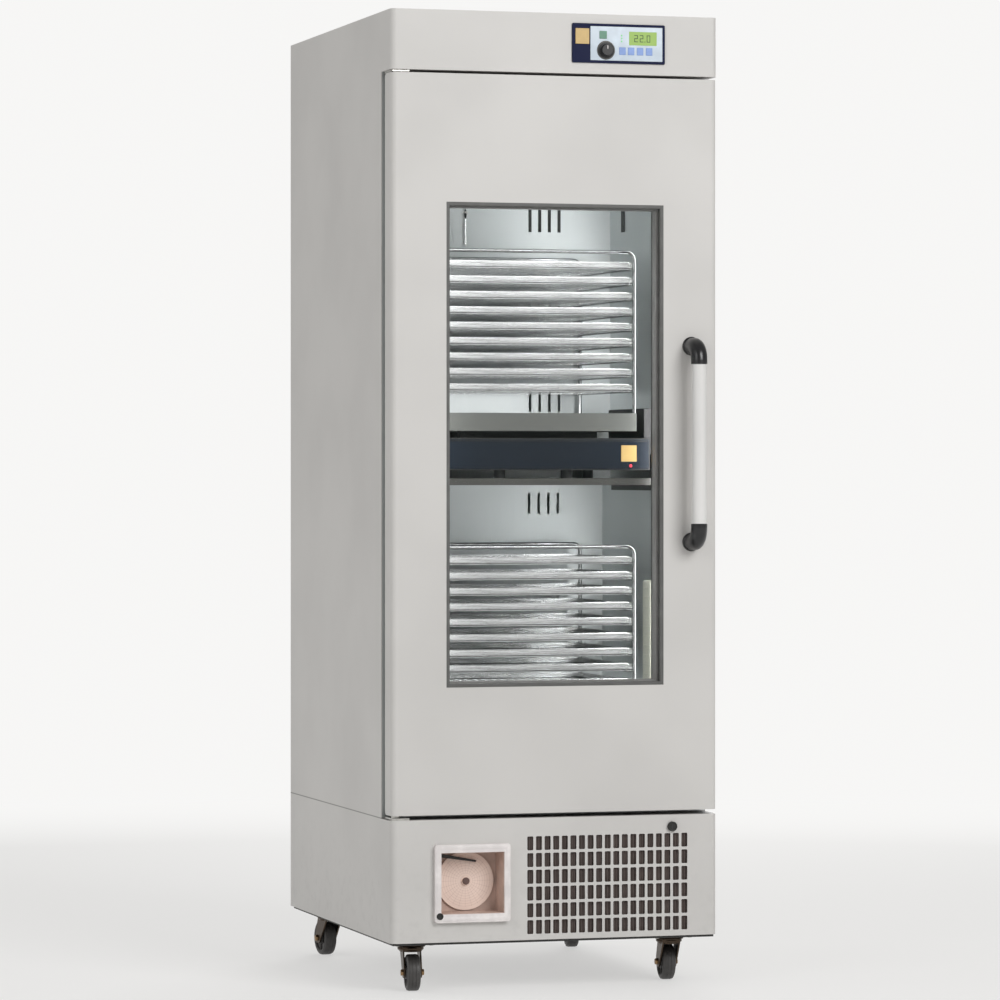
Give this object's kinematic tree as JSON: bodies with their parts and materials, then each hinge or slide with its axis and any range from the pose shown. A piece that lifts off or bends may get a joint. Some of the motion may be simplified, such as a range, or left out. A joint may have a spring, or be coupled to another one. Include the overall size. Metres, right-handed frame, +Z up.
{
  "type": "platelet agitator",
  "caption": "Tall glazed-door incubator cabinet on swivel casters, holding flat-bed agitators with pull-out trays that rock from side to side.",
  "frame": {"origin": "on the floor, under the middle of the box round the whole object", "axes": "+Z up; the door faces -Y; +X is to the right as seen from the front, on the handle's side"},
  "size_m": [0.7, 0.917, 2.005],
  "materials": {
    "light_paint": "satin",
    "lining": "matte",
    "foam": "matte",
    "stainless": "brushed",
    "bright_steel": "satin",
    "navy_panel": "satin",
    "dark_frame": "matte",
    "clear_glass": "clear",
    "pale_gasket": "matte",
    "black_plastic": "gloss",
    "knob_plastic": "matte",
    "chart_paper": "matte",
    "coil_metal": "plain",
    "dark_steel": "satin",
    "bronze_plate": "plated",
    "wheel_plastic": "matte"
  },
  "bodies": {
    "cabinet": {"outer_case": "light_paint", "foam_insulation": "foam", "inner_liner": "stainless", "duct_panel": "stainless", "evaporator": "coil_metal", "lamp_strip": "knob_plastic", "mid_shelf": "stainless", "agitator_bases": "navy_panel", "agitator_motors": "coil_metal", "header_cover": "light_paint", "control_bezel": "navy_panel", "base_tub": "light_paint", "base_front": "light_paint", "recorder_case": "knob_plastic", "hinge_brackets": "bright_steel", "condensing_unit": "coil_metal", "chassis_rails": "dark_steel"},
    "door": {"door_shell": "light_paint", "door_lining": "lining", "window_frame": "dark_frame", "window_glass": "clear_glass", "door_gasket": "pale_gasket", "handle_bar": "light_paint", "handle_elbows": "black_plastic"},
    "rack_lower": {"rack_lower": "bright_steel"},
    "crank_lower": {"crank_lower": "bright_steel"},
    "tray_lower_1": {"tray_lower_1": "stainless"},
    "tray_lower_2": {"tray_lower_2": "stainless"},
    "tray_lower_3": {"tray_lower_3": "stainless"},
    "tray_lower_4": {"tray_lower_4": "stainless"},
    "tray_lower_5": {"tray_lower_5": "stainless"},
    "tray_lower_6": {"tray_lower_6": "stainless"},
    "tray_lower_7": {"tray_lower_7": "stainless"},
    "tray_lower_8": {"tray_lower_8": "stainless"},
    "tray_lower_9": {"tray_lower_9": "stainless"},
    "rack_upper": {"rack_upper": "bright_steel"},
    "crank_upper": {"crank_upper": "bright_steel"},
    "tray_upper_1": {"tray_upper_1": "stainless"},
    "tray_upper_2": {"tray_upper_2": "stainless"},
    "tray_upper_3": {"tray_upper_3": "stainless"},
    "tray_upper_4": {"tray_upper_4": "stainless"},
    "tray_upper_5": {"tray_upper_5": "stainless"},
    "tray_upper_6": {"tray_upper_6": "stainless"},
    "tray_upper_7": {"tray_upper_7": "stainless"},
    "tray_upper_8": {"tray_upper_8": "stainless"},
    "tray_upper_9": {"tray_upper_9": "stainless"},
    "caster_fork_front_left": {"caster_fork_front_left": "bronze_plate"},
    "caster_wheel_front_left": {"caster_wheel_front_left": "wheel_plastic"},
    "caster_fork_front_right": {"caster_fork_front_right": "bronze_plate"},
    "caster_wheel_front_right": {"caster_wheel_front_right": "wheel_plastic"},
    "caster_fork_back_left": {"caster_fork_back_left": "bronze_plate"},
    "caster_wheel_back_left": {"caster_wheel_back_left": "wheel_plastic"},
    "caster_fork_back_right": {"caster_fork_back_right": "bronze_plate"},
    "caster_wheel_back_right": {"caster_wheel_back_right": "wheel_plastic"},
    "control_knob": {"control_knob": "black_plastic"},
    "panel_lock": {"panel_lock": "bright_steel"},
    "chart_disc": {"chart_disc": "chart_paper"},
    "pen_arm": {"pen_arm": "black_plastic"},
    "evaporator_fan": {"evaporator_fan": "dark_frame"},
    "condenser_fan": {"condenser_fan": "dark_frame"}
  },
  "joints": [
    {"name": "door_swing", "type": "hinge", "parent": "cabinet", "child": "door", "pos_m": [-0.332, -0.3615, 1.12025], "axis": [0, 0, -1], "range_deg": [0, 105]},
    {"name": "rack_lower_slide", "type": "slide", "parent": "cabinet", "child": "rack_lower", "axis": [1, 0, 0], "range_m": [-0.019, 0.019]},
    {"name": "crank_lower_turn", "type": "hinge", "parent": "cabinet", "child": "crank_lower", "pos_m": [0, -0.064, 0.518], "axis": [0, 0, 1], "range_deg": [-90, 90]},
    {"name": "tray_lower_1_slide", "type": "slide", "parent": "rack_lower", "child": "tray_lower_1", "axis": [0, -1, 0], "range_m": [0, 0.065]},
    {"name": "tray_lower_2_slide", "type": "slide", "parent": "rack_lower", "child": "tray_lower_2", "axis": [0, -1, 0], "range_m": [0, 0.065]},
    {"name": "tray_lower_3_slide", "type": "slide", "parent": "rack_lower", "child": "tray_lower_3", "axis": [0, -1, 0], "range_m": [0, 0.065]},
    {"name": "tray_lower_4_slide", "type": "slide", "parent": "rack_lower", "child": "tray_lower_4", "axis": [0, -1, 0], "range_m": [0, 0.065]},
    {"name": "tray_lower_5_slide", "type": "slide", "parent": "rack_lower", "child": "tray_lower_5", "axis": [0, -1, 0], "range_m": [0, 0.065]},
    {"name": "tray_lower_6_slide", "type": "slide", "parent": "rack_lower", "child": "tray_lower_6", "axis": [0, -1, 0], "range_m": [0, 0.065]},
    {"name": "tray_lower_7_slide", "type": "slide", "parent": "rack_lower", "child": "tray_lower_7", "axis": [0, -1, 0], "range_m": [0, 0.065]},
    {"name": "tray_lower_8_slide", "type": "slide", "parent": "rack_lower", "child": "tray_lower_8", "axis": [0, -1, 0], "range_m": [0, 0.065]},
    {"name": "tray_lower_9_slide", "type": "slide", "parent": "rack_lower", "child": "tray_lower_9", "axis": [0, -1, 0], "range_m": [0, 0.065]},
    {"name": "rack_upper_slide", "type": "slide", "parent": "cabinet", "child": "rack_upper", "axis": [1, 0, 0], "range_m": [-0.019, 0.019]},
    {"name": "crank_upper_turn", "type": "hinge", "parent": "cabinet", "child": "crank_upper", "pos_m": [0, -0.064, 1.134], "axis": [0, 0, 1], "range_deg": [-90, 90]},
    {"name": "tray_upper_1_slide", "type": "slide", "parent": "rack_upper", "child": "tray_upper_1", "axis": [0, -1, 0], "range_m": [0, 0.065]},
    {"name": "tray_upper_2_slide", "type": "slide", "parent": "rack_upper", "child": "tray_upper_2", "axis": [0, -1, 0], "range_m": [0, 0.065]},
    {"name": "tray_upper_3_slide", "type": "slide", "parent": "rack_upper", "child": "tray_upper_3", "axis": [0, -1, 0], "range_m": [0, 0.065]},
    {"name": "tray_upper_4_slide", "type": "slide", "parent": "rack_upper", "child": "tray_upper_4", "axis": [0, -1, 0], "range_m": [0, 0.065]},
    {"name": "tray_upper_5_slide", "type": "slide", "parent": "rack_upper", "child": "tray_upper_5", "axis": [0, -1, 0], "range_m": [0, 0.065]},
    {"name": "tray_upper_6_slide", "type": "slide", "parent": "rack_upper", "child": "tray_upper_6", "axis": [0, -1, 0], "range_m": [0, 0.065]},
    {"name": "tray_upper_7_slide", "type": "slide", "parent": "rack_upper", "child": "tray_upper_7", "axis": [0, -1, 0], "range_m": [0, 0.065]},
    {"name": "tray_upper_8_slide", "type": "slide", "parent": "rack_upper", "child": "tray_upper_8", "axis": [0, -1, 0], "range_m": [0, 0.065]},
    {"name": "tray_upper_9_slide", "type": "slide", "parent": "rack_upper", "child": "tray_upper_9", "axis": [0, -1, 0], "range_m": [0, 0.065]},
    {"name": "front_left_swivel", "type": "hinge", "parent": "cabinet", "child": "caster_fork_front_left", "pos_m": [-0.28, -0.2865, 0.098], "axis": [0, 0, 1], "continuous": true},
    {"name": "front_left_roll", "type": "hinge", "parent": "caster_fork_front_left", "child": "caster_wheel_front_left", "pos_m": [-0.28376, -0.31324, 0.0375], "axis": [0.9903, -0.1392, 0], "continuous": true},
    {"name": "front_right_swivel", "type": "hinge", "parent": "cabinet", "child": "caster_fork_front_right", "pos_m": [0.28, -0.2865, 0.098], "axis": [0, 0, 1], "continuous": true},
    {"name": "front_right_roll", "type": "hinge", "parent": "caster_fork_front_right", "child": "caster_wheel_front_right", "pos_m": [0.28282, -0.25965, 0.0375], "axis": [-0.9945, 0.1045, 0], "continuous": true},
    {"name": "back_left_swivel", "type": "hinge", "parent": "cabinet", "child": "caster_fork_back_left", "pos_m": [-0.28, 0.3835, 0.098], "axis": [0, 0, 1], "continuous": true},
    {"name": "back_left_roll", "type": "hinge", "parent": "caster_fork_back_left", "child": "caster_wheel_back_left", "pos_m": [-0.28329, 0.4103, 0.0375], "axis": [-0.9925, -0.1219, 0], "continuous": true},
    {"name": "back_right_swivel", "type": "hinge", "parent": "cabinet", "child": "caster_fork_back_right", "pos_m": [0.28, 0.3835, 0.098], "axis": [0, 0, 1], "continuous": true},
    {"name": "back_right_roll", "type": "hinge", "parent": "caster_fork_back_right", "child": "caster_wheel_back_right", "pos_m": [0.28469, 0.41009, 0.0375], "axis": [-0.9848, 0.1736, 0], "continuous": true},
    {"name": "control_knob_turn", "type": "hinge", "parent": "cabinet", "child": "control_knob", "pos_m": [0.107, -0.3945, 1.931], "axis": [0, 1, 0], "range_deg": [-135, 135]},
    {"name": "panel_lock_turn", "type": "hinge", "parent": "cabinet", "child": "panel_lock", "pos_m": [0.251, -0.3915, 0.331], "axis": [0, 1, 0], "range_deg": [0, 90]},
    {"name": "chart_turn", "type": "hinge", "parent": "cabinet", "child": "chart_disc", "pos_m": [-0.18, -0.3395, 0.2255], "axis": [0, 1, 0], "continuous": true},
    {"name": "pen_swing", "type": "hinge", "parent": "cabinet", "child": "pen_arm", "pos_m": [-0.24, -0.3395, 0.28], "axis": [0, 1, 0], "range_deg": [-8, 22]},
    {"name": "evaporator_fan_spin", "type": "hinge", "parent": "cabinet", "child": "evaporator_fan", "pos_m": [0, 0.1947, 1.68], "axis": [0, 1, 0], "continuous": true},
    {"name": "condenser_fan_spin", "type": "hinge", "parent": "cabinet", "child": "condenser_fan", "pos_m": [0.1275, -0.2615, 0.21825], "axis": [0, 1, 0], "continuous": true}
  ],
  "couplings": [
    {"joint": "crank_lower_turn", "follows": "rack_lower_slide", "rad_per_m": 82.674},
    {"joint": "crank_upper_turn", "follows": "rack_upper_slide", "rad_per_m": 82.674}
  ]
}
